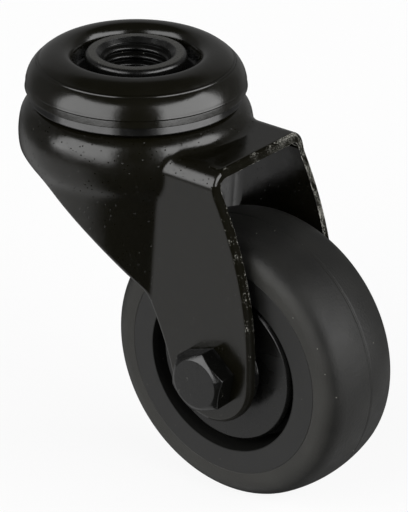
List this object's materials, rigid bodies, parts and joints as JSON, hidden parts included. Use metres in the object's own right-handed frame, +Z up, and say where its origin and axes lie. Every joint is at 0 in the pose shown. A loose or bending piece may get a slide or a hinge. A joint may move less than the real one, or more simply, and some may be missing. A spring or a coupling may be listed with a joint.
{
  "type": "bolt hole swivel castor",
  "caption": "Black swivel castor with a central threaded bolt hole, a pressed steel fork, double ball swivel and a rubber tyred wheel on a hexagon axle bolt.",
  "frame": {"origin": "centre of the kingpin's flat top face, on the bolt hole's axis", "axes": "+Z up along the bolt hole, +X the way the wheel trails, Y along the wheel's axle with the bolt's head on the -Y side"},
  "size_m": [0.0715, 0.0406, 0.0739],
  "materials": {
    "black_paint": "gloss black coat on pressed steel, with fine specks",
    "kingpin_finish": "black coat on turned steel",
    "seal_plastic": "satin black",
    "bearing_steel": "polished steel",
    "plated_steel": "zinc plated",
    "black_bolt": "black oxide on forged steel",
    "nylon": "natural nylon",
    "guard_plastic": "satin black moulding",
    "tyre_rubber": "matte black moulded rubber",
    "wheel_plastic": "matte black moulding"
  },
  "bodies": {
    "head": {"kingpin": "kingpin_finish", "top_cap": "black_paint", "upper_race": "black_paint", "dust_seal": "seal_plastic", "lower_race": "black_paint"},
    "upper_ball_ring": {"upper_balls": "bearing_steel"},
    "lower_ball_ring": {"lower_balls": "bearing_steel"},
    "swivel_fork": {"fork": "black_paint", "axle_bolt": "black_bolt", "lock_nut": "black_bolt", "lock_nut_ring": "nylon", "axle_spacer_left": "plated_steel", "axle_spacer_right": "plated_steel", "thread_guard_left": "guard_plastic", "thread_guard_right": "guard_plastic", "bearing_inner_ring": "bearing_steel"},
    "wheel": {"tyre": "tyre_rubber", "wheel_centre": "wheel_plastic", "bearing_outer_ring": "bearing_steel", "bearing_shield_left": "plated_steel", "bearing_shield_right": "plated_steel"},
    "ball_cage": {"bearing_balls": "bearing_steel", "bearing_cage": "plated_steel"}
  },
  "joints": [
    {"name": "swivel", "type": "hinge", "parent": "head", "child": "swivel_fork", "pos_m": [0, 0, -0.0075], "axis": [0, 0, 1], "continuous": true},
    {"name": "upper_ball_roll", "type": "hinge", "parent": "head", "child": "upper_ball_ring", "pos_m": [0, 0, -0.0075], "axis": [0, 0, 1], "continuous": true},
    {"name": "lower_ball_roll", "type": "hinge", "parent": "head", "child": "lower_ball_ring", "pos_m": [0, 0, -0.0117], "axis": [0, 0, 1], "continuous": true},
    {"name": "wheel_spin", "type": "hinge", "parent": "swivel_fork", "child": "wheel", "pos_m": [0.02615, 0, -0.0486], "axis": [0, 1, 0], "continuous": true},
    {"name": "cage_roll", "type": "hinge", "parent": "swivel_fork", "child": "ball_cage", "pos_m": [0.02615, 0, -0.0486], "axis": [0, 1, 0], "continuous": true}
  ],
  "couplings": [
    {"joint": "upper_ball_roll", "follows": "swivel", "ratio": 0.5},
    {"joint": "lower_ball_roll", "follows": "swivel", "ratio": 0.5},
    {"joint": "cage_roll", "follows": "wheel_spin", "ratio": 0.6333}
  ]
}
